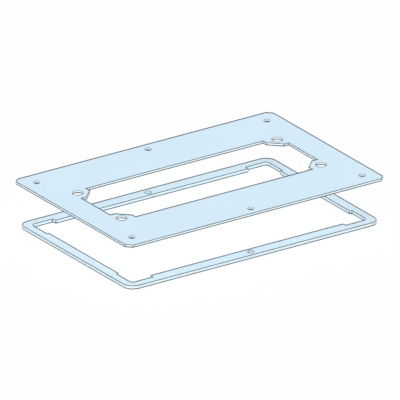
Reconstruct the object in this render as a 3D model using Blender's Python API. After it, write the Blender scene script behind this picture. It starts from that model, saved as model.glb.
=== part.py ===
# Cable entry plate: a flat steel plate with an entry cut-out, lifted off the rubber seal that goes under it.
# The long side lies along X, the short side along Y, and the seal's underside lies on Z = 0.

import math

import bmesh
import bpy


# Sizes of the plate, in metres
PLATE_LENGTH = 0.3126
PLATE_WIDTH = 0.2060
PLATE_THICKNESS = 0.0025
PLATE_CORNER_CUT = 0.0060

# Entry cut-out in the middle of the plate, with a tab left standing in each of its corners
ENTRY_LENGTH = 0.2492
ENTRY_WIDTH = 0.0855
TAB_LENGTH = 0.0182
TAB_WIDTH = 0.0181
TAB_CORNER_CUT = 0.0127

# Fixing hole in each tab, measured from the corner that the tab fills
TAB_HOLE_DIAMETER = 0.0114
TAB_HOLE_INSET = 0.0039

# Screw holes round the rim, measured from the plate's edges
SCREW_DIAMETER = 0.0050
SCREW_HOLE_CLEARANCE = 0.0016
CORNER_SCREW_FROM_END = 0.0170
CORNER_SCREW_FROM_SIDE = 0.0186
MIDDLE_SCREW_FROM_SIDE = 0.01175

# Seal under the plate
SEAL_THICKNESS = 0.0035
SEAL_SETBACK_FROM_END = 0.0040
SEAL_SETBACK_FROM_SIDE = 0.0033
SEAL_CORNER_RADIUS = 0.0120
SEAL_END_STRIP = 0.0128
SEAL_SIDE_STRIP = 0.0160

# Recess in each inner corner of the seal, which leaves room for the corner screw
RECESS_CLEARANCE_END = 0.0001
RECESS_CLEARANCE_SIDE = 0.0012
RECESS_REACH = 0.0223
RECESS_CORNER_RADIUS = 0.0030
END_STEP_LEAN = math.radians(35)
SIDE_STEP_LEAN = math.radians(12)

# Slit from each of the seal's screw holes to its inner edge
SLIT_WIDTH = 0.0004

# Height at which the plate hangs over the seal; a third of a millimetre seats it
LIFT = 0.0445

# Facets of the round shapes, and how far a cutter runs past what it cuts
LARGE_HOLE_SIDES = 48
SMALL_HOLE_SIDES = 32
CORNER_ARC_STEPS = 12
RECESS_ARC_STEPS = 6
CUT_OVERRUN = 0.0020

# Heights worked out from the sizes above
PLATE_BOTTOM = SEAL_THICKNESS + LIFT
PLATE_TOP = PLATE_BOTTOM + PLATE_THICKNESS

# Screw holes and their places, shared by the plate and the seal
SCREW_HOLE_DIAMETER = SCREW_DIAMETER + SCREW_HOLE_CLEARANCE
CORNER_SCREW_X = PLATE_LENGTH / 2 - CORNER_SCREW_FROM_END
CORNER_SCREW_Y = PLATE_WIDTH / 2 - CORNER_SCREW_FROM_SIDE
MIDDLE_SCREW_Y = PLATE_WIDTH / 2 - MIDDLE_SCREW_FROM_SIDE

# The four corners, anticlockwise from the far right one
QUADRANTS = ((1, 1), (-1, 1), (-1, -1), (1, -1))


def clear_scene():
    for old in list(bpy.data.objects):
        bpy.data.objects.remove(old, do_unlink=True)


def surface(name, color, roughness, metallic):
    finish = bpy.data.materials.new(name)
    finish.use_nodes = True
    shader = finish.node_tree.nodes["Principled BSDF"]
    shader.inputs["Base Color"].default_value = (*color, 1.0)
    shader.inputs["Roughness"].default_value = roughness
    shader.inputs["Metallic"].default_value = metallic
    finish.diffuse_color = (*color, 1.0)
    return finish


def mirrored(quarter):
    """Close an outline from its first quadrant, which runs anticlockwise from the +X side to the +Y side."""
    outline = []
    for side_x, side_y in QUADRANTS:
        points = [(side_x * x, side_y * y) for x, y in quarter]
        if side_x != side_y:
            points.reverse()
        outline.extend(points)
    return outline


def prism(name, outline, bottom, top):
    """Extrude an outline drawn anticlockwise from one height to another, as an object of its own."""
    shape = bmesh.new()
    floor = shape.faces.new([shape.verts.new((x, y, bottom)) for x, y in outline])
    raised = bmesh.ops.extrude_face_region(shape, geom=[floor])
    lid = [part for part in raised["geom"] if isinstance(part, bmesh.types.BMVert)]
    bmesh.ops.translate(shape, verts=lid, vec=(0, 0, top - bottom))
    bmesh.ops.recalc_face_normals(shape, faces=shape.faces)
    mesh = bpy.data.meshes.new(name)
    shape.to_mesh(mesh)
    shape.free()
    piece = bpy.data.objects.new(name, mesh)
    bpy.context.scene.collection.objects.link(piece)
    return piece


def circle(x, y, diameter, sides):
    turn = 2 * math.pi / sides
    radius = diameter / 2
    return [(x + radius * math.cos(turn * (step + 0.5)), y + radius * math.sin(turn * (step + 0.5)))
            for step in range(sides)]


def punch(piece, name, outline, bottom, top):
    """Cut an outline right through a piece that lies between two heights."""
    cutter = prism(name, outline, bottom - CUT_OVERRUN, top + CUT_OVERRUN)
    cutter.hide_render = True
    cutter.display_type = "WIRE"
    cutter.parent = piece
    cut = piece.modifiers.new(name, "BOOLEAN")
    cut.operation = "DIFFERENCE"
    cut.solver = "EXACT"
    cut.object = cutter


def smooth_rounds(piece):
    piece.data.shade_smooth()
    piece.data.set_sharp_from_angle(angle=math.radians(30))


def plate_outline():
    end = PLATE_LENGTH / 2
    side = PLATE_WIDTH / 2
    return mirrored([(end, side - PLATE_CORNER_CUT), (end - PLATE_CORNER_CUT, side)])


def entry_outline():
    """Cut-out whose corners step round the tabs, each tab with its free corner cut at 45 degrees."""
    end = ENTRY_LENGTH / 2
    side = ENTRY_WIDTH / 2
    tab_end = end - TAB_LENGTH
    tab_side = side - TAB_WIDTH
    return mirrored([
        (end, tab_side),
        (tab_end + TAB_CORNER_CUT, tab_side),
        (tab_end, tab_side + TAB_CORNER_CUT),
        (tab_end, side),
    ])


def round_corner(x, y, radius, steps):
    """Quarter arc that stands in for a corner in the first quadrant, from its +X side to its +Y side."""
    turn = math.pi / 2 / steps
    return [(x - radius + radius * math.cos(turn * step), y - radius + radius * math.sin(turn * step))
            for step in range(steps + 1)]


def seal_outline():
    """Outer edge of the seal, set back from the plate's edge all round, with round corners."""
    end = PLATE_LENGTH / 2 - SEAL_SETBACK_FROM_END
    side = PLATE_WIDTH / 2 - SEAL_SETBACK_FROM_SIDE
    return mirrored(round_corner(end, side, SEAL_CORNER_RADIUS, CORNER_ARC_STEPS))


def seal_opening_edge():
    """Distance of the seal's inner edge from the middle, at the ends and at the long sides."""
    end = PLATE_LENGTH / 2 - SEAL_SETBACK_FROM_END - SEAL_END_STRIP
    side = PLATE_WIDTH / 2 - SEAL_SETBACK_FROM_SIDE - SEAL_SIDE_STRIP
    return end, side


def seal_opening_outline():
    """Inner edge of the seal, stepped back round the corner screws, with leaning steps and a round corner."""
    end, side = seal_opening_edge()
    recess_end = CORNER_SCREW_X + SCREW_DIAMETER / 2 + RECESS_CLEARANCE_END
    recess_side = CORNER_SCREW_Y + SCREW_DIAMETER / 2 + RECESS_CLEARANCE_SIDE
    step_y = CORNER_SCREW_Y - RECESS_REACH
    step_x = CORNER_SCREW_X - RECESS_REACH
    lean_y = (recess_end - end) * math.tan(END_STEP_LEAN) / 2
    lean_x = (recess_side - side) * math.tan(SIDE_STEP_LEAN) / 2
    return mirrored([
        (end, step_y - lean_y),
        (recess_end, step_y + lean_y),
        *round_corner(recess_end, recess_side, RECESS_CORNER_RADIUS, RECESS_ARC_STEPS),
        (step_x + lean_x, recess_side),
        (step_x - lean_x, side),
    ])


def slit_outline(side_y):
    """Narrow cut from the middle of a screw hole to past the seal's inner edge."""
    edge = seal_opening_edge()[1] - CUT_OVERRUN
    low, high = sorted((side_y * edge, side_y * MIDDLE_SCREW_Y))
    half = SLIT_WIDTH / 2
    return [(-half, low), (half, low), (half, high), (-half, high)]


def make_plate():
    plate = prism("plate", plate_outline(), PLATE_BOTTOM, PLATE_TOP)
    plate.data.materials.append(surface("blue_coated_steel", (0.665, 0.835, 0.955), 0.42, 0.0))
    punch(plate, "entry_cutter", entry_outline(), PLATE_BOTTOM, PLATE_TOP)
    for number, (side_x, side_y) in enumerate(QUADRANTS, 1):
        tab_hole = circle(
            side_x * (ENTRY_LENGTH / 2 - TAB_HOLE_INSET),
            side_y * (ENTRY_WIDTH / 2 - TAB_HOLE_INSET),
            TAB_HOLE_DIAMETER, LARGE_HOLE_SIDES,
        )
        punch(plate, f"tab_hole_cutter_{number}", tab_hole, PLATE_BOTTOM, PLATE_TOP)
        corner_hole = circle(
            side_x * CORNER_SCREW_X, side_y * CORNER_SCREW_Y,
            SCREW_HOLE_DIAMETER, SMALL_HOLE_SIDES,
        )
        punch(plate, f"corner_hole_cutter_{number}", corner_hole, PLATE_BOTTOM, PLATE_TOP)
    for number, side_y in enumerate((1, -1), 1):
        middle_hole = circle(0, side_y * MIDDLE_SCREW_Y, SCREW_HOLE_DIAMETER, SMALL_HOLE_SIDES)
        punch(plate, f"middle_hole_cutter_{number}", middle_hole, PLATE_BOTTOM, PLATE_TOP)
    smooth_rounds(plate)
    return plate


def make_seal():
    seal = prism("seal", seal_outline(), 0, SEAL_THICKNESS)
    seal.data.materials.append(surface("blue_rubber", (0.650, 0.835, 0.945), 0.75, 0.0))
    punch(seal, "opening_cutter", seal_opening_outline(), 0, SEAL_THICKNESS)
    for number, side_y in enumerate((1, -1), 1):
        screw_hole = circle(0, side_y * MIDDLE_SCREW_Y, SCREW_HOLE_DIAMETER, SMALL_HOLE_SIDES)
        punch(seal, f"seal_hole_cutter_{number}", screw_hole, 0, SEAL_THICKNESS)
        punch(seal, f"slit_cutter_{number}", slit_outline(side_y), 0, SEAL_THICKNESS)
    smooth_rounds(seal)
    return seal


clear_scene()
make_plate()
make_seal()
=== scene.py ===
# %% [markdown]
# # A cable entry plate and its seal
# A cable entry plate closes the opening in the wall of an enclosure, and carries the gland frame that the
# cables come in through. Under it goes a ring of rubber that keeps water and dust out. This notebook dresses
# both for a picture in which the plate hangs over its seal, as in an assembly drawing.
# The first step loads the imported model. It fixes where everything is, so nothing here is fitted by eye.

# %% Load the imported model
import math

import bmesh
import bpy
from mathutils import Matrix, Vector


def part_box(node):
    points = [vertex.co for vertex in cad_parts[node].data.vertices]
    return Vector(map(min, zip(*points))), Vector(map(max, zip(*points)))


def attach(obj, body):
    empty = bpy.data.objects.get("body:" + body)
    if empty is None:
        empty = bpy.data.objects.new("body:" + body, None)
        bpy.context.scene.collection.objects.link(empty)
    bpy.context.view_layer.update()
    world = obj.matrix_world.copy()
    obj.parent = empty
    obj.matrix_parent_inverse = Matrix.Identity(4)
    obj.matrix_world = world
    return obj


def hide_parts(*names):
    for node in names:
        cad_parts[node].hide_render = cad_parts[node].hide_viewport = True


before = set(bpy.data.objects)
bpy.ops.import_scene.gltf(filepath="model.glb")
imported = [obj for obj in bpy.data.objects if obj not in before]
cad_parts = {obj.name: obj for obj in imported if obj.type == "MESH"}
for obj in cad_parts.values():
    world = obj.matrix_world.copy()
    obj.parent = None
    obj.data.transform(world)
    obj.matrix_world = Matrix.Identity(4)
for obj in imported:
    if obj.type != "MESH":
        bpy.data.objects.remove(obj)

print("solids in the packed model:", sorted(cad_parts))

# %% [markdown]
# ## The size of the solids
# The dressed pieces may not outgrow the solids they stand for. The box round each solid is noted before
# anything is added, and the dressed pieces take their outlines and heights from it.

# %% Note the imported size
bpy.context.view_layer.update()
plate_low, plate_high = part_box("plate")
seal_low, seal_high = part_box("seal")

# %% [markdown]
# ## Finishes written as sums
# Powder coat and rubber are never one flat colour, so their look is worked out by shader nodes. Dozens of
# nodes are hard to read when they are made one call at a time. Here a small class wraps a socket, so that a
# line such as `1 - mask` adds the Math node by itself, and one method makes every other kind of node.
# A ready-made picture of a surface would be quicker, but it blurs up close and repeats.

# %% A socket that understands arithmetic
class Value:
    """An output socket on which Python's operators stand for Math nodes."""

    def __init__(self, recipe, socket):
        self.recipe = recipe
        self.socket = socket

    def math(self, operation, *numbers):
        return self.recipe.node("ShaderNodeMath", {"operation": operation}, dict(enumerate(numbers)))

    def __add__(self, other):
        return self.math("ADD", self, other)

    def __sub__(self, other):
        return self.math("SUBTRACT", self, other)

    def __rsub__(self, other):
        return self.math("SUBTRACT", other, self)

    def __mul__(self, other):
        return self.math("MULTIPLY", self, other)

    def __abs__(self):
        return self.math("ABSOLUTE", self)

    def between(self, low, high):
        """Rises smoothly from 0 at the low value to 1 at the high one."""
        sockets = {"Value": self, "From Min": low, "From Max": high}
        return self.recipe.node("ShaderNodeMapRange", {"interpolation_type": "SMOOTHSTEP"}, sockets)

    __radd__ = __add__
    __rmul__ = __mul__


print("sums on sockets are ready")

# %% [markdown]
# The method that makes a node takes its type, its settings and what goes into its sockets, in that order,
# because some settings change which sockets a node has. Colours can't pass through a Math node, which would
# turn them grey, so they are mixed in a Mix node of their own.

# %% A recipe that makes nodes
class Recipe:
    """The node tree of one finish, of the floor or of the room."""

    def __init__(self, tree):
        self.tree = tree

    def node(self, kind, settings, sockets, output=0):
        made = self.tree.nodes.new(kind)
        for name, setting in settings.items():
            setattr(made, name, setting)
        for name, value in sockets.items():
            self.feed(made.inputs[name], value)
        return Value(self, made.outputs[output])

    def feed(self, socket, value):
        if isinstance(value, Value):
            self.tree.links.new(value.socket, socket)
        else:
            socket.default_value = value

    def place(self, output="Object"):
        return self.node("ShaderNodeTexCoord", {}, {}, output)

    def noise(self, vector, size, detail=2.0):
        """Soft random patches of about the given size in metres."""
        sockets = {"Vector": vector, "Scale": 1 / size, "Detail": detail}
        return self.node("ShaderNodeTexNoise", {}, sockets, "Fac")

    def blend(self, mask, first, second):
        """The first colour where the mask is 0 and the second where it is 1."""
        return self.node("ShaderNodeMix", {"data_type": "RGBA"}, {0: mask, 6: first, 7: second}, 2)


def color(red, green, blue):
    return (red, green, blue, 1.0)


print("recipes are ready")

# %% [markdown]
# ## Drawing a quarter and mirroring it
# Both pieces are the same left and right, and front and back. So only the quarter with positive X and Y is
# drawn, as bare lines, and two mirrors complete it: a slip in one corner can't differ from the other three.
# Straight stretches join a few corner points. Round ones are swept by the spin operator from a single point,
# which places them exactly and needs no list of coordinates. The mirrors leave a needless point in the middle
# of each straight side, and it is dissolved, because a fill could make a face of no area with it.

# %% Lines, arcs and mirrors
MERGE_DISTANCE = 1e-6
STRAIGHT_ANGLE = math.radians(1)


def draw_lines(shape, corners, start=None):
    """Join corner points by straight edges, onwards from a point that is already there."""
    points = [start] if start else []
    points += [shape.verts.new((x, y, 0)) for x, y in corners]
    for one, other in zip(points, points[1:]):
        shape.edges.new((one, other))
    return points[-1]


def sweep_arc(shape, point, centre, angle, steps):
    """Sweep a point round an upright axis, and give back the far end of the arc."""
    swept = bmesh.ops.spin(shape, geom=[point], cent=(*centre, 0), axis=(0, 0, 1), angle=angle, steps=steps)
    return next(part for part in swept["geom_last"] if isinstance(part, bmesh.types.BMVert))


def mirror_quarter(shape):
    for axis in "XY":
        bmesh.ops.mirror(shape, geom=shape.verts[:] + shape.edges[:], axis=axis, merge_dist=MERGE_DISTANCE)
    needless = [vert for vert in shape.verts if vert.calc_edge_angle() < STRAIGHT_ANGLE]
    bmesh.ops.dissolve_verts(shape, verts=needless)


print("outline tools are ready")

# %% [markdown]
# ## The plate's outline
# The plate is punched from flat sheet. Its corners are cut off at 45 degrees, so that nobody is scratched by
# a sharp one. In its middle is the entry cut-out, and in each corner of that the punch leaves a tab standing,
# with a large hole for the screws of the gland frame. Six small holes round the rim take the screws that
# hold the plate to the enclosure. The middle ones sit on the mirror line, so only half of one is swept.
# The coat gathers in a hole and forms a bead, so a hole is drawn that much smaller than it was punched.

# %% Draw a quarter of the plate
PLATE_CORNER_CUT = 0.0060
ENTRY_END = 0.1246
ENTRY_SIDE = 0.04275
TAB_END = 0.1064
TAB_SIDE = 0.02465
TAB_CORNER_CUT = 0.0127
TAB_HOLE = (0.1207, 0.03885)
HOLE_BEAD = 0.0004
TAB_HOLE_RADIUS = 0.0057 - HOLE_BEAD
CORNER_HOLE = (0.1393, 0.0844)
MIDDLE_HOLE_Y = 0.09125
SCREW_HOLE_RADIUS = 0.0033 - HOLE_BEAD
HOLE_STEPS = 64

plate_end = plate_high.x
plate_side = plate_high.y
plate_shape = bmesh.new()
plate_rim = plate_shape.verts.layers.float.new("rim")
plate_upright = plate_shape.faces.layers.float.new("upright")

draw_lines(plate_shape, [
    (plate_end, 0),
    (plate_end, plate_side - PLATE_CORNER_CUT),
    (plate_end - PLATE_CORNER_CUT, plate_side),
    (0, plate_side),
])
draw_lines(plate_shape, [
    (ENTRY_END, 0),
    (ENTRY_END, TAB_SIDE),
    (TAB_END + TAB_CORNER_CUT, TAB_SIDE),
    (TAB_END, TAB_SIDE + TAB_CORNER_CUT),
    (TAB_END, ENTRY_SIDE),
    (0, ENTRY_SIDE),
])
for (x, y), radius in ((TAB_HOLE, TAB_HOLE_RADIUS), (CORNER_HOLE, SCREW_HOLE_RADIUS)):
    place = Matrix.Translation((x, y, 0))
    bmesh.ops.create_circle(plate_shape, segments=HOLE_STEPS, radius=radius, matrix=place)
lowest = plate_shape.verts.new((0, MIDDLE_HOLE_Y - SCREW_HOLE_RADIUS, 0))
sweep_arc(plate_shape, lowest, (0, MIDDLE_HOLE_Y), math.pi, HOLE_STEPS // 2)
mirror_quarter(plate_shape)
print("plate outline:", len(plate_shape.edges), "edges")

# %% [markdown]
# ## From outline to sheet
# The fill operator turns nested loops into one flat face with holes in it. A finish often changes near an
# edge: paint draws back from it, rubber is pressed flat beside it. To tell a finish where the edges are, the
# face is inset, which lays a narrow strip along every loop. The middle is then filled again, because its long
# triangles would fold over when the strip pushes their corners inwards.
# A strip of one width would look thin along the edges that the picture sees at a flat angle, and thick along
# the others. So the outline is turned and flattened for the inset, as the picture sees it, and put back after
# it. Where the picture also shows the wall below an edge, the small round that the edge gets later looks like
# part of its line. So the inner borders of all strips are moved a little towards the viewer, which makes the
# strips at those edges narrower and the others wider. The picture's two angles were found from the slopes of
# the plate's edges, and the camera uses them again. An extrusion then makes a sheet of the face.

# %% Fill an outline and thicken it
VIEW_AZIMUTH = math.radians(-34.27)
VIEW_ELEVATION = math.radians(23.16)
FLATTENED = Matrix.Diagonal((1, math.sin(VIEW_ELEVATION), 1, 1))
AS_SEEN = FLATTENED @ Matrix.Rotation(-VIEW_AZIMUTH, 4, "Z")
NEARER = (0, -0.00015, 0)


def fill_outline(shape, strip_width):
    """Fill the loops of an outline, with a strip along each that looks about equally wide in the picture."""
    bmesh.ops.transform(shape, matrix=AS_SEEN, verts=shape.verts[:])
    bmesh.ops.triangle_fill(shape, edges=shape.edges[:], use_beauty=True)
    middle = shape.faces[:]
    inset = bmesh.ops.inset_region(
        shape, faces=middle, thickness=strip_width, use_boundary=True, use_even_offset=True,
    )
    strip = set(inset["faces"])
    seam = [
        edge for edge in shape.edges
        if edge.is_manifold and len(strip.intersection(edge.link_faces)) == 1
    ]
    bmesh.ops.delete(shape, geom=middle, context="FACES")
    bmesh.ops.triangle_fill(shape, edges=seam, use_beauty=True)
    inner_border = list({vert for edge in seam for vert in edge.verts})
    bmesh.ops.translate(shape, verts=inner_border, vec=NEARER)
    bmesh.ops.transform(shape, matrix=AS_SEEN.inverted(), verts=shape.verts[:])


def thicken(shape, bottom, top):
    """Raise a flat face to the thickness of its sheet, at its own height."""
    raised = bmesh.ops.extrude_face_region(shape, geom=shape.faces[:])
    lid = [part for part in raised["geom"] if isinstance(part, bmesh.types.BMVert)]
    bmesh.ops.translate(shape, verts=lid, vec=(0, 0, top - bottom))
    bmesh.ops.translate(shape, verts=shape.verts[:], vec=(0, 0, bottom))
    bmesh.ops.recalc_face_normals(shape, faces=shape.faces[:])


PLATE_FACE_STRIP = 0.0010
fill_outline(plate_shape, PLATE_FACE_STRIP)
thicken(plate_shape, plate_low.z, plate_high.z)
print("plate sheet:", len(plate_shape.faces), "faces,", round(1e9 * plate_shape.calc_volume()), "mm3")

# %% [markdown]
# The walls get their strips too. They are first taken apart along the sharp edges, so that each flat wall is
# inset on its own, and then all is welded together again. An inset of the whole wall at once would leave out
# the upright edges at its corners.

# %% Lay strips round the walls
SHARP_ANGLE = math.radians(30)
WALL_NORMAL_RISE = 0.5


def sharp_edges(shape):
    return [edge for edge in shape.edges if edge.is_manifold and edge.calc_face_angle() > SHARP_ANGLE]


def lay_wall_strips(shape, width):
    bmesh.ops.split_edges(shape, edges=sharp_edges(shape))
    walls = [face for face in shape.faces if abs(face.normal.z) < WALL_NORMAL_RISE]
    bmesh.ops.inset_region(shape, faces=walls, thickness=width, use_boundary=True, use_even_offset=True)
    bmesh.ops.remove_doubles(shape, verts=shape.verts[:], dist=MERGE_DISTANCE)


PLATE_WALL_STRIP = 0.0007
lay_wall_strips(plate_shape, PLATE_WALL_STRIP)
print("plate with wall strips:", len(plate_shape.faces), "faces")

# %% [markdown]
# ## Edges that catch the light
# No real edge is perfectly sharp, and a sharp one looks like paper. The punch draws the sheet's edges down a
# little, so each gets a small round by the bevel operator. The points that the bevel makes carry a 1 in the
# `rim` attribute and all others a 0, so the strips fade from one to the other. A hole's edge gets much less
# than 1, because the bead of coat in it covers the metal well and the line there is thinner. The faces beside
# the upright edges get a mark of their own, because the line is to run up the whole height of those.

# %% Round the edges and mark them
ROUND_STEPS = 3
HOLE_RIM = 0.20
HOLE_REACH = 1.2
UPRIGHT_SHARE = 0.7


def at_a_hole(point, holes):
    """True near the edge of a hole, or of one of its mirror images."""
    x, y = abs(point.co.x), abs(point.co.y)
    return any(math.dist((x, y), centre) < radius * HOLE_REACH for centre, radius in holes)


def round_edges(shape, rim, size, holes):
    rounded = bmesh.ops.bevel(
        shape, geom=sharp_edges(shape), offset=size, offset_type="OFFSET", segments=ROUND_STEPS, profile=0.5,
        affect="EDGES", material=-1,
    )
    for point in rounded["verts"]:
        point[rim] = HOLE_RIM if at_a_hole(point, holes) else 1.0


def mark_upright_strips(shape, upright, height):
    """Mark the faces beside the upright edges, the only ones that are nearly as high as the whole piece."""
    for face in shape.faces:
        levels = [vert.co.z for vert in face.verts]
        face[upright] = 1.0 if max(levels) - min(levels) > UPRIGHT_SHARE * height else 0.0


PLATE_EDGE_ROUND = 0.0002
PLATE_HOLES = (
    (TAB_HOLE, TAB_HOLE_RADIUS),
    (CORNER_HOLE, SCREW_HOLE_RADIUS),
    ((0, MIDDLE_HOLE_Y), SCREW_HOLE_RADIUS),
)
round_edges(plate_shape, plate_rim, PLATE_EDGE_ROUND, PLATE_HOLES)
mark_upright_strips(plate_shape, plate_upright, plate_high.z - plate_low.z)
print("rounded plate:", len(plate_shape.faces), "faces")

# %% [markdown]
# ## A mesh becomes a piece
# Finished pieces stay at the origin, unturned and unscaled, with their place in their mesh, just as the
# solids do. Round walls are shaded smooth. The Weighted Normal modifier lets the large flat faces decide how
# their edges shade, so that the small rounds bend the light and the flats stay flat.

# %% Turn a shape into a piece
SMOOTH_ANGLE = math.radians(40)


def make_piece(name, shape, material):
    mesh = bpy.data.meshes.new(name)
    shape.to_mesh(mesh)
    shape.free()
    mesh.materials.append(material)
    mesh.shade_smooth()
    mesh.set_sharp_from_angle(angle=SMOOTH_ANGLE)
    piece = bpy.data.objects.new(name, mesh)
    bpy.context.scene.collection.objects.link(piece)
    shading = piece.modifiers.new("flat_faces_first", "WEIGHTED_NORMAL")
    shading.keep_sharp = True
    return piece


print("pieces can be made")

# %% [markdown]
# ## Where a finish changes
# Both finishes look different in three places: on the flat faces, on the cut walls, and in a thin line along
# the edges. The surface's own normal tells walls from faces, and the `rim` attribute tells how near the edge
# is. The line runs along the rims of the faces, up the corners and along the foot of each wall. Between the
# corners it leaves the upper part of a wall alone, where the tool that cut it came in cleanly. The foot goes
# by height alone.

# %% Find walls and edges
WALL_FADE = (0.08, 0.35)
LINE_FADE = (0.04, 0.16)
RAGGED_SHARE = 1.2
RAGGED_DETAIL = 3.0
CLEAN_DEPTHS = (0.0010, 0.0008)
FOOT_HEIGHTS = (0.0009, 0.0013)


def find_walls(recipe):
    upright = recipe.node("ShaderNodeSeparateXYZ", {}, {0: recipe.place("Normal")}, "Z")
    return (1 - abs(upright)).between(*WALL_FADE)


def find_edge_line(recipe, where, wall, bottom, top, ragged):
    """1 along the edges of a piece that lies between two heights, with a slightly ragged border."""
    rim = recipe.node("ShaderNodeAttribute", {"attribute_name": "rim"}, {}, "Fac")
    height = recipe.node("ShaderNodeSeparateXYZ", {}, {0: where}, "Z")
    upright = recipe.node("ShaderNodeAttribute", {"attribute_name": "upright"}, {}, "Fac")
    clean = height.between(top - CLEAN_DEPTHS[0], top - CLEAN_DEPTHS[1]) * wall * (1 - upright)
    foot = (1 - height.between(bottom + FOOT_HEIGHTS[0], bottom + FOOT_HEIGHTS[1])) * wall
    line = (rim * (1 + (ragged - 0.5) * RAGGED_SHARE)).between(*LINE_FADE) * (1 - clean)
    return line.math("MAXIMUM", line, foot)


print("masks are ready")

# %% [markdown]
# ## Powder coat
# The plate is powder coated in a pale blue, over a dark ground coat. Baked powder flows out into a faint
# orange peel, a millimetre or two across, and its tone drifts a little over a large sheet. It draws back
# from sharp edges, where the ground coat shows as a thin dark line. The cut walls are painted paler than the
# faces: painted light that makes them look lit brighter than the top.
# The peel is a bump and a change of gloss rather than real waves, because it is only microns high.

# %% Mix the powder coat
COAT_ON_FACE = color(0.645, 0.827, 0.955)
# The wall colour is painted light: paler than the faces, so that the walls look lit brighter than the top.
WALL_COAT_WITH_PAINTED_LIGHT = color(0.800, 0.935, 0.970)
GROUND_COAT = color(0.045, 0.072, 0.095)
COAT_EDGE_SIZE = 0.004
PEEL_SIZE = 0.0016
DRIFT_SIZE = 0.060
DRIFT_SHARE = 0.04
DRIFT_START = 0.01
COAT_ROUGHNESS = 0.40
PEEL_ROUGHNESS = 0.10
GROUND_ROUGHNESS = 0.45
PEEL_BUMP = 0.5
BUMP_DEPTH = 0.0001


def powder_coat():
    material = bpy.data.materials.new("pale_blue_powder_coat")
    material.use_nodes = True
    recipe = Recipe(material.node_tree)
    shader = material.node_tree.nodes["Principled BSDF"]
    where = recipe.place()
    wall = find_walls(recipe)
    ragged = recipe.noise(where, COAT_EDGE_SIZE, RAGGED_DETAIL)
    line = find_edge_line(recipe, where, wall, plate_low.z, plate_high.z, ragged)
    peel = recipe.noise(where, PEEL_SIZE)
    drift = (recipe.noise(where, DRIFT_SIZE) + peel - 1) * DRIFT_SHARE + DRIFT_START
    # The walls take the paler colour here, painted light that makes them look brighter than the top.
    coat = recipe.blend(drift, recipe.blend(wall, COAT_ON_FACE, WALL_COAT_WITH_PAINTED_LIGHT), GROUND_COAT)
    recipe.feed(shader.inputs["Base Color"], recipe.blend(line, coat, GROUND_COAT))
    gloss_change = (peel - 0.5) * PEEL_ROUGHNESS + line * GROUND_ROUGHNESS
    recipe.feed(shader.inputs["Roughness"], COAT_ROUGHNESS + gloss_change)
    bump = {"Strength": PEEL_BUMP, "Distance": BUMP_DEPTH, "Height": peel}
    recipe.feed(shader.inputs["Normal"], recipe.node("ShaderNodeBump", {}, bump))
    return material


plate_piece = make_piece("coated_plate", plate_shape, powder_coat())
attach(plate_piece, "root")
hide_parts("plate")
print("made", plate_piece.name)

# %% [markdown]
# ## The seal's outline
# The seal is one flat ring, die-cut from a rubber sheet, with round outer corners. Its inner edge steps back
# near each corner, with leaning steps and a small round, to leave room for the corner screws. In the middle
# of each long side is a screw hole. The ring is drawn, filled, thickened and softened just as the plate was.
# The knife presses the soft sheet down as it cuts, so its edges are rounder than the steel's.

# %% Make the seal's ring
SEAL_CORNER_RADIUS = 0.0120
SEAL_INNER_END = 0.1395
SEAL_INNER_SIDE = 0.0837
RECESS_END = 0.1419
RECESS_SIDE = 0.0881
RECESS_STEP_Y = (0.06126, 0.06294)
RECESS_STEP_X = (0.11653, 0.11747)
RECESS_CORNER_RADIUS = 0.0030
CORNER_STEPS = 16

seal_end = seal_high.x
seal_side = seal_high.y
corner_centre = (seal_end - SEAL_CORNER_RADIUS, seal_side - SEAL_CORNER_RADIUS)
recess_centre = (RECESS_END - RECESS_CORNER_RADIUS, RECESS_SIDE - RECESS_CORNER_RADIUS)
seal_shape = bmesh.new()
seal_rim = seal_shape.verts.layers.float.new("rim")
seal_upright = seal_shape.faces.layers.float.new("upright")

straight_end = draw_lines(seal_shape, [(seal_end, 0), (seal_end, corner_centre[1])])
arc_end = sweep_arc(seal_shape, straight_end, corner_centre, math.pi / 2, CORNER_STEPS)
draw_lines(seal_shape, [(0, seal_side)], arc_end)
recess_start = draw_lines(seal_shape, [
    (SEAL_INNER_END, 0),
    (SEAL_INNER_END, RECESS_STEP_Y[0]),
    (RECESS_END, RECESS_STEP_Y[1]),
    (RECESS_END, recess_centre[1]),
])
recess_turn = sweep_arc(seal_shape, recess_start, recess_centre, math.pi / 2, CORNER_STEPS)
draw_lines(seal_shape, [
    (RECESS_STEP_X[1], RECESS_SIDE),
    (RECESS_STEP_X[0], SEAL_INNER_SIDE),
    (0, SEAL_INNER_SIDE),
], recess_turn)
lowest = seal_shape.verts.new((0, MIDDLE_HOLE_Y - SCREW_HOLE_RADIUS, 0))
sweep_arc(seal_shape, lowest, (0, MIDDLE_HOLE_Y), math.pi, HOLE_STEPS // 2)
mirror_quarter(seal_shape)

SEAL_FACE_STRIP = 0.0010
SEAL_WALL_STRIP = 0.0008
SEAL_EDGE_ROUND = 0.0003
fill_outline(seal_shape, SEAL_FACE_STRIP)
thicken(seal_shape, seal_low.z, seal_high.z)
lay_wall_strips(seal_shape, SEAL_WALL_STRIP)
round_edges(seal_shape, seal_rim, SEAL_EDGE_ROUND, PLATE_HOLES[2:])
mark_upright_strips(seal_shape, seal_upright, seal_high.z - seal_low.z)
print("seal:", len(seal_shape.faces), "faces,", round(1e9 * seal_shape.calc_volume()), "mm3")

# %% [markdown]
# ## Slits
# A slit runs from each screw hole to the ring's inner edge, so that the seal can be slipped over a screw
# that is already in place. It is cut last, with a blade and not with the die, and so its edges stay sharp.
# Two cuts part the ring on either side of the middle line, the sliver between them goes, and the open ends
# are closed again.

# %% Cut the slits
SLIT_HALF_WIDTH = 0.0002
TOWARDS_X = (1, 0, 0)


def between_hole_and_edge(face):
    return abs(face.calc_center_median().y) < MIDDLE_HOLE_Y


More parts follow.
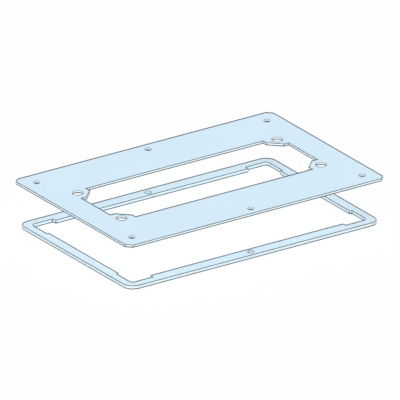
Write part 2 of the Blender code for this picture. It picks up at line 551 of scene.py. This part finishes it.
for side in (SLIT_HALF_WIDTH, -SLIT_HALF_WIDTH):
    inner = [face for face in seal_shape.faces if between_hole_and_edge(face)]
    lines = list({edge for face in inner for edge in face.edges})
    points = list({vert for face in inner for vert in face.verts})
    bmesh.ops.bisect_plane(
        seal_shape, geom=inner + lines + points, dist=MERGE_DISTANCE,
        plane_co=(side, 0, 0), plane_no=TOWARDS_X,
    )
sliver = [
    face for face in seal_shape.faces
    if between_hole_and_edge(face) and abs(face.calc_center_median().x) < SLIT_HALF_WIDTH
]
bmesh.ops.delete(seal_shape, geom=sliver, context="FACES")
bmesh.ops.holes_fill(seal_shape, edges=[edge for edge in seal_shape.edges if edge.is_boundary])
still_open = [edge for edge in seal_shape.edges if not edge.is_manifold]
print("seal with slits:", len(seal_shape.faces), "faces, open edges:", len(still_open))

# %% [markdown]
# ## Closed-cell rubber
# The seal is a closed-cell rubber of nearly the plate's blue, but quite matt. Its skin is painted a little
# greyer than the plate's blue: painted shade that takes back the blue light which the plate's underside
# bounces onto it.
# It is dotted with cells well under a millimetre across, which are faint dark dimples. The cut walls are
# painted paler, partly because the cut opens the cells and partly as painted light that makes them look lit
# brighter than the top. Along the cut edges the rubber is squeezed dense and stays dark, and so is the skin
# right beside the slits.

# %% Mix the rubber
# The skin colour holds painted shade: greyer than the plate's blue, to take back the blue light bounced onto
# it from the plate's underside.
RUBBER_SKIN_WITH_PAINTED_SHADE = color(0.665, 0.770, 0.825)
# The cut-wall colour is paler partly because the cut opens the cells and partly as painted light, lighter
# than the top.
RUBBER_CUT_CELLS_AND_PAINTED_LIGHT = color(0.720, 0.840, 0.900)
RUBBER_PRESSED = color(0.045, 0.072, 0.095)
RUBBER_EDGE_SIZE = 0.003
CELL_SIZE = 0.0006
PORE_FADE = (0.10, 0.35)
PORE_SHARE = 0.08
SLIT_LINE = (0.0004, 0.0009)
SLIT_FADE_LENGTH = 0.0030
RUBBER_ROUGHNESS = 0.78
SKIN_ROUGHNESS = 0.10
PORE_BUMP = 0.6


def closed_cell_rubber():
    material = bpy.data.materials.new("pale_blue_cell_rubber")
    material.use_nodes = True
    recipe = Recipe(material.node_tree)
    shader = material.node_tree.nodes["Principled BSDF"]
    where = recipe.place()
    wall = find_walls(recipe)
    ragged = recipe.noise(where, RUBBER_EDGE_SIZE, RAGGED_DETAIL)
    line = find_edge_line(recipe, where, wall, seal_low.z, seal_high.z, ragged)
    across = recipe.node("ShaderNodeSeparateXYZ", {}, {0: where}, "X")
    along = recipe.node("ShaderNodeSeparateXYZ", {}, {0: where}, "Y")
    beyond_slit = abs(along).between(MIDDLE_HOLE_Y - SLIT_FADE_LENGTH, MIDDLE_HOLE_Y)
    slit = (1 - abs(across).between(*SLIT_LINE)) * (1 - beyond_slit)
    dense = line.math("MAXIMUM", line, slit * (1 - wall))
    cells = recipe.node("ShaderNodeTexVoronoi", {}, {"Vector": where, "Scale": 1 / CELL_SIZE}, "Distance")
    pores = 1 - cells.between(*PORE_FADE)
    # Painted shade on the skin and painted light on the cut walls.
    rubber = recipe.blend(wall, RUBBER_SKIN_WITH_PAINTED_SHADE, RUBBER_CUT_CELLS_AND_PAINTED_LIGHT)
    speckled = recipe.blend(pores * PORE_SHARE, rubber, RUBBER_PRESSED)
    recipe.feed(shader.inputs["Base Color"], recipe.blend(dense, speckled, RUBBER_PRESSED))
    recipe.feed(shader.inputs["Roughness"], RUBBER_ROUGHNESS + (ragged - 0.5) * SKIN_ROUGHNESS)
    bump = {"Strength": PORE_BUMP, "Distance": BUMP_DEPTH, "Height": 1 - pores}
    recipe.feed(shader.inputs["Normal"], recipe.node("ShaderNodeBump", {}, bump))
    return material


seal_piece = make_piece("rubber_seal", seal_shape, closed_cell_rubber())
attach(seal_piece, "root")
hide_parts("seal")
print("made", seal_piece.name)

# %% [markdown]
# ## Floor and room
# The object lies on a plain white floor in a white room, like a drawing on paper. A floor that only reflects
# light would look grey, so part of what the camera sees of it glows at exactly the strength of white. The
# rest still takes light and shade, which keeps a soft shadow under the object.

# %% Lay the floor
FLOOR_SIZE = 3.0
FLOOR_GAP = 0.00005
FLOOR_GLOW_SHARE = 0.85
FLOOR_PAINT = color(0.95, 0.95, 0.95)
WHITE = color(1, 1, 1)


def seen_directly(recipe):
    """1 for what the camera, a reflection or a clear material shows, and 0 for what only gives light."""
    camera_ray = recipe.node("ShaderNodeLightPath", {}, {}, "Is Camera Ray")
    path = camera_ray.socket.node
    glossy_ray = Value(recipe, path.outputs["Is Glossy Ray"])
    transmission_ray = Value(recipe, path.outputs["Is Transmission Ray"])
    seen = camera_ray + glossy_ray + transmission_ray
    return seen.math("MINIMUM", seen, 1.0)


floor_shape = bmesh.new()
bmesh.ops.create_grid(floor_shape, size=FLOOR_SIZE / 2, matrix=Matrix.Translation((0, 0, -FLOOR_GAP)))
floor_mesh = bpy.data.meshes.new("floor")
floor_shape.to_mesh(floor_mesh)
floor_shape.free()
floor = bpy.data.objects.new("floor", floor_mesh)
bpy.context.scene.collection.objects.link(floor)

floor_material = bpy.data.materials.new("white_floor")
floor_material.use_nodes = True
floor_recipe = Recipe(floor_material.node_tree)
paint = floor_recipe.node("ShaderNodeBsdfDiffuse", {}, {"Color": FLOOR_PAINT})
glow = floor_recipe.node("ShaderNodeEmission", {}, {"Color": WHITE, "Strength": 1.0})
share = seen_directly(floor_recipe) * FLOOR_GLOW_SHARE
surface = floor_recipe.node("ShaderNodeMixShader", {}, {0: share, 1: paint, 2: glow})
floor_recipe.feed(floor_material.node_tree.nodes["Material Output"].inputs["Surface"], surface)
floor_mesh.materials.append(floor_material)
print("floor:", FLOOR_SIZE, "m square")

# %% [markdown]
# The room is white to the camera but gives the object only part of its light. That comes evenly from all
# around, and leaves the lamps something to do.

# %% Light the room
ROOM_STRENGTH = 0.34

world = bpy.data.worlds.new("white_room")
bpy.context.scene.world = world
world.use_nodes = True
room_recipe = Recipe(world.node_tree)
seen = seen_directly(room_recipe)
background = world.node_tree.nodes["Background"]
background.inputs["Color"].default_value = WHITE
room_recipe.feed(background.inputs["Strength"], ROOM_STRENGTH + seen * (1 - ROOM_STRENGTH))
print("room strength:", ROOM_STRENGTH)

# %% [markdown]
# ## Lamps
# Two suns light the object, because a sun lights a wide flat plate evenly from end to end. The key sun comes
# over the camera's left shoulder and is spread so wide that its shadows have no hard edge. The fill sun casts
# no shadow at all. It reaches the seal under the plate, which would otherwise lie in the plate's shade.

# %% Hang the lamps
def hang_sun(name, azimuth, elevation, strength, spread, casts_shadow):
    """A sun at an angle round the object, where 0 shines along +Y, and at an angle above the floor."""
    lamp = bpy.data.lights.new(name, "SUN")
    lamp.energy = strength
    lamp.angle = math.radians(spread)
    lamp.use_shadow = casts_shadow
    around, up = math.radians(azimuth), math.radians(elevation)
    towards = Vector((math.sin(around) * math.cos(up), -math.cos(around) * math.cos(up), math.sin(up)))
    sun = bpy.data.objects.new(name, lamp)
    sun.rotation_euler = towards.to_track_quat("Z", "Y").to_euler()
    sun.location = towards
    bpy.context.scene.collection.objects.link(sun)


hang_sun("key_sun", azimuth=-75, elevation=40, strength=0.5, spread=60, casts_shadow=True)
hang_sun("fill_sun", azimuth=-30, elevation=52, strength=2.15, spread=30, casts_shadow=False)
print("lamps: key_sun and fill_sun")

# %% [markdown]
# ## Camera
# The picture is a parallel projection: lines that are parallel on the object stay parallel in it. So the
# camera is orthographic, and one pixel of the 400 across covers one millimetre. Its two angles are the ones
# that the strips along the edges were laid for.

# %% Set up the camera
VIEW_WIDTH = 0.400
VIEW_DISTANCE = 1.5
AIM = Vector((-0.00417, -0.00727, 0.03098))

towards_camera = Vector((
    math.sin(VIEW_AZIMUTH) * math.cos(VIEW_ELEVATION),
    -math.cos(VIEW_AZIMUTH) * math.cos(VIEW_ELEVATION),
    math.sin(VIEW_ELEVATION),
))
lens = bpy.data.cameras.new("camera")
lens.type = "ORTHO"
lens.ortho_scale = VIEW_WIDTH
camera = bpy.data.objects.new("camera", lens)
camera.location = AIM + towards_camera * VIEW_DISTANCE
camera.rotation_euler = towards_camera.to_track_quat("Z", "Y").to_euler()
bpy.context.scene.collection.objects.link(camera)
bpy.context.scene.camera = camera
bpy.context.scene.view_settings.view_transform = "Standard"
print("camera at", [round(c, 3) for c in camera.location])
